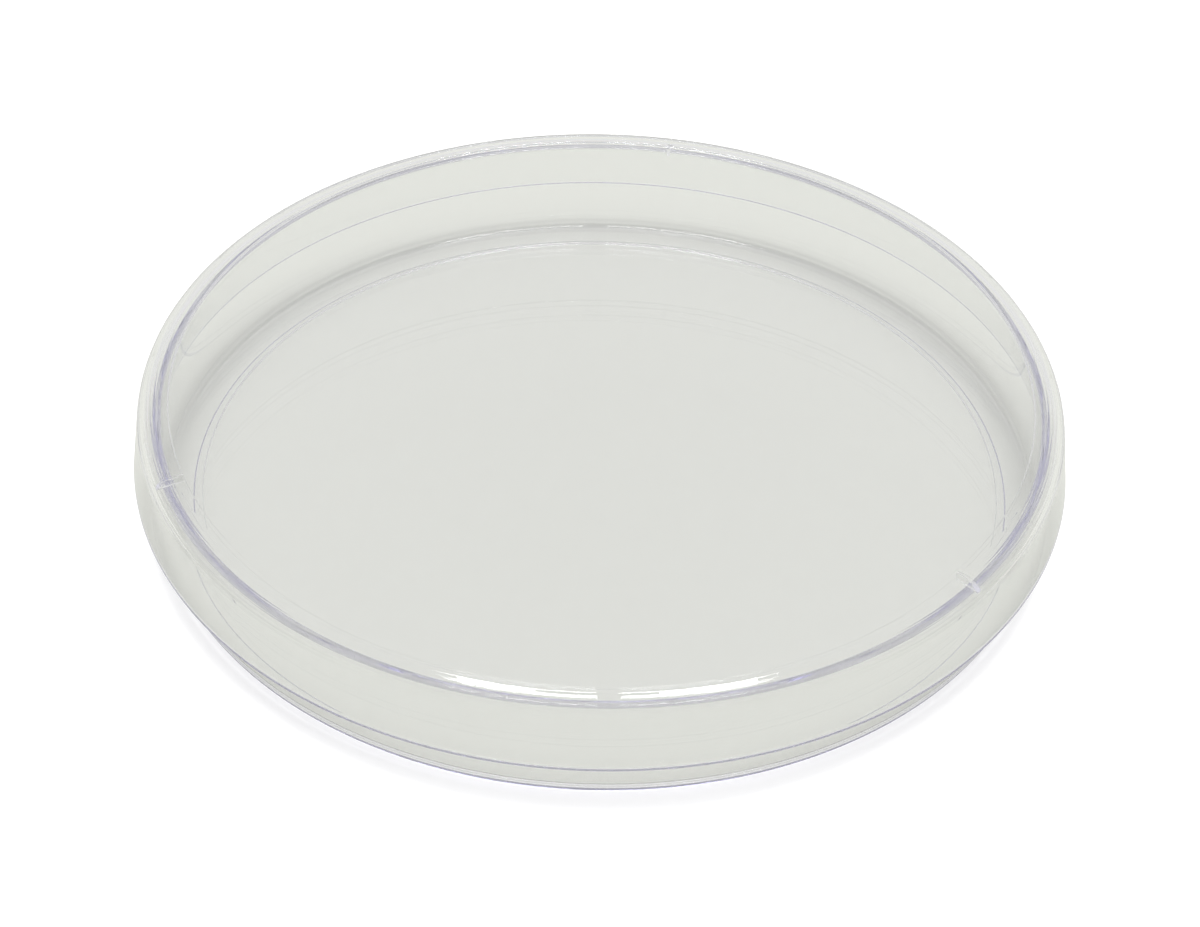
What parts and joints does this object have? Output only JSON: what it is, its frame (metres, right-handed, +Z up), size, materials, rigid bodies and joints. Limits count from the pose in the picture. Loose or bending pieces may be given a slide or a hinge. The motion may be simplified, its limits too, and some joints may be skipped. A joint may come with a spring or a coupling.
{
  "type": "petri dish",
  "caption": "Round shallow clear dish with a loose overlapping lid whose short ribs leave a vent gap at the rim.",
  "frame": {"origin": "centre of the flat underside that the dish stands on", "axes": "+Z up along the axis of the dish; +X to the right and +Y away from someone looking at the dish from the front"},
  "size_m": [0.095, 0.095, 0.0135],
  "materials": {
    "clear_polystyrene": "clear, polished mould finish"
  },
  "bodies": {
    "base_dish": {"base_dish": "clear_polystyrene"},
    "lid": {"lid": "clear_polystyrene"}
  },
  "joints": [
    {"name": "lid_lift", "type": "slide", "parent": "base_dish", "child": "lid", "axis": [0, 0, 1], "range_m": [0, 0.03]}
  ]
}
